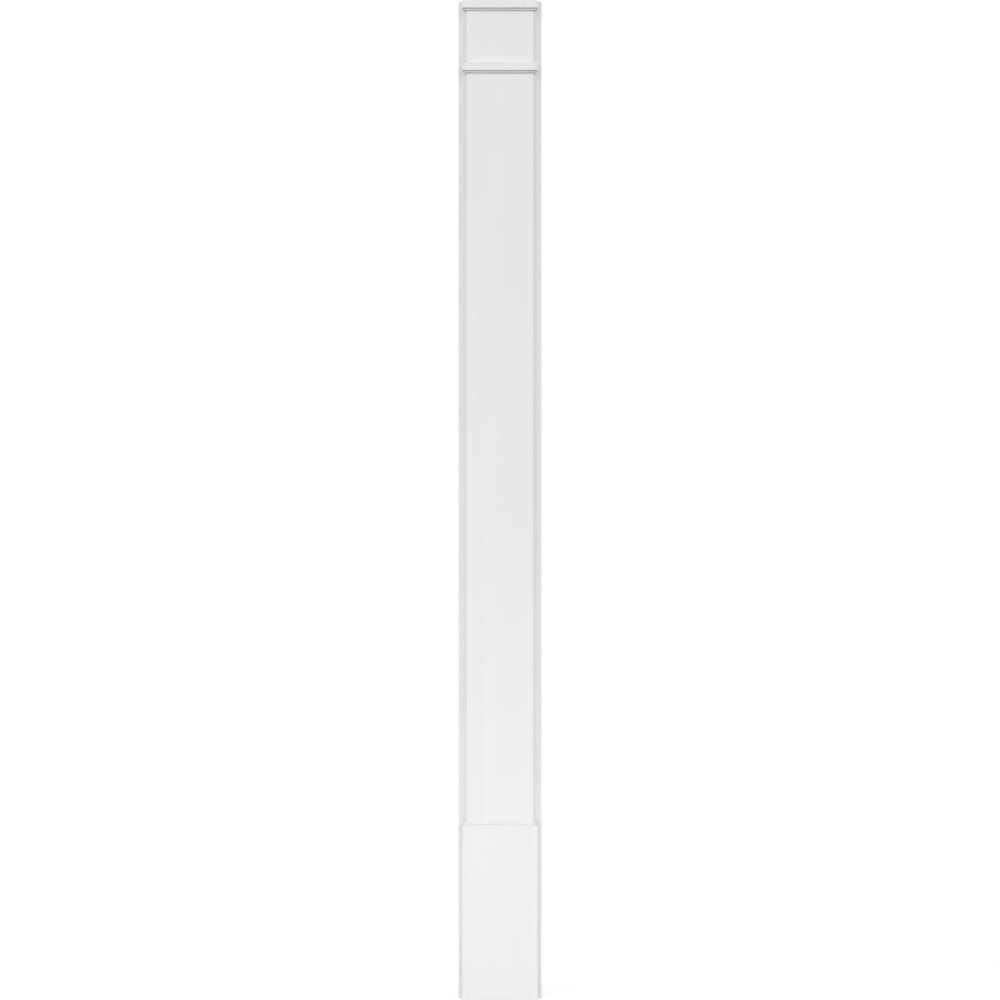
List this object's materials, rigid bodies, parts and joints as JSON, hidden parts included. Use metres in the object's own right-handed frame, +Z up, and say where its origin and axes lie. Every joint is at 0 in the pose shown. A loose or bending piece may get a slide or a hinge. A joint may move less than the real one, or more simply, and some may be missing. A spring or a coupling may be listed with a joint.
{
  "type": "pilaster",
  "caption": "Plain white pilaster: a flat back board, a raised panel, a plinth block with a moulded top edge, and neck and cap mouldings mitred round the front and sides.",
  "frame": {"origin": "middle of the footprint, on the floor", "axes": "+X across the front, +Y to the wall behind, -Y to the viewer, +Z up"},
  "size_m": [0.2032, 0.0508, 2.4384],
  "materials": {
    "board_plastic": "planed foamed PVC sheet, fine satin skin",
    "panel_plastic": "planed foamed PVC sheet, fine satin skin",
    "trim_plastic": "extruded foamed PVC strip, satin"
  },
  "bodies": {
    "root": {"back_board": "board_plastic", "shaft_panel": "panel_plastic", "plinth_block": "panel_plastic", "neck_front": "trim_plastic", "neck_left_return": "trim_plastic", "neck_right_return": "trim_plastic", "cap_front": "trim_plastic", "cap_left_return": "trim_plastic", "cap_right_return": "trim_plastic"}
  },
  "joints": []
}
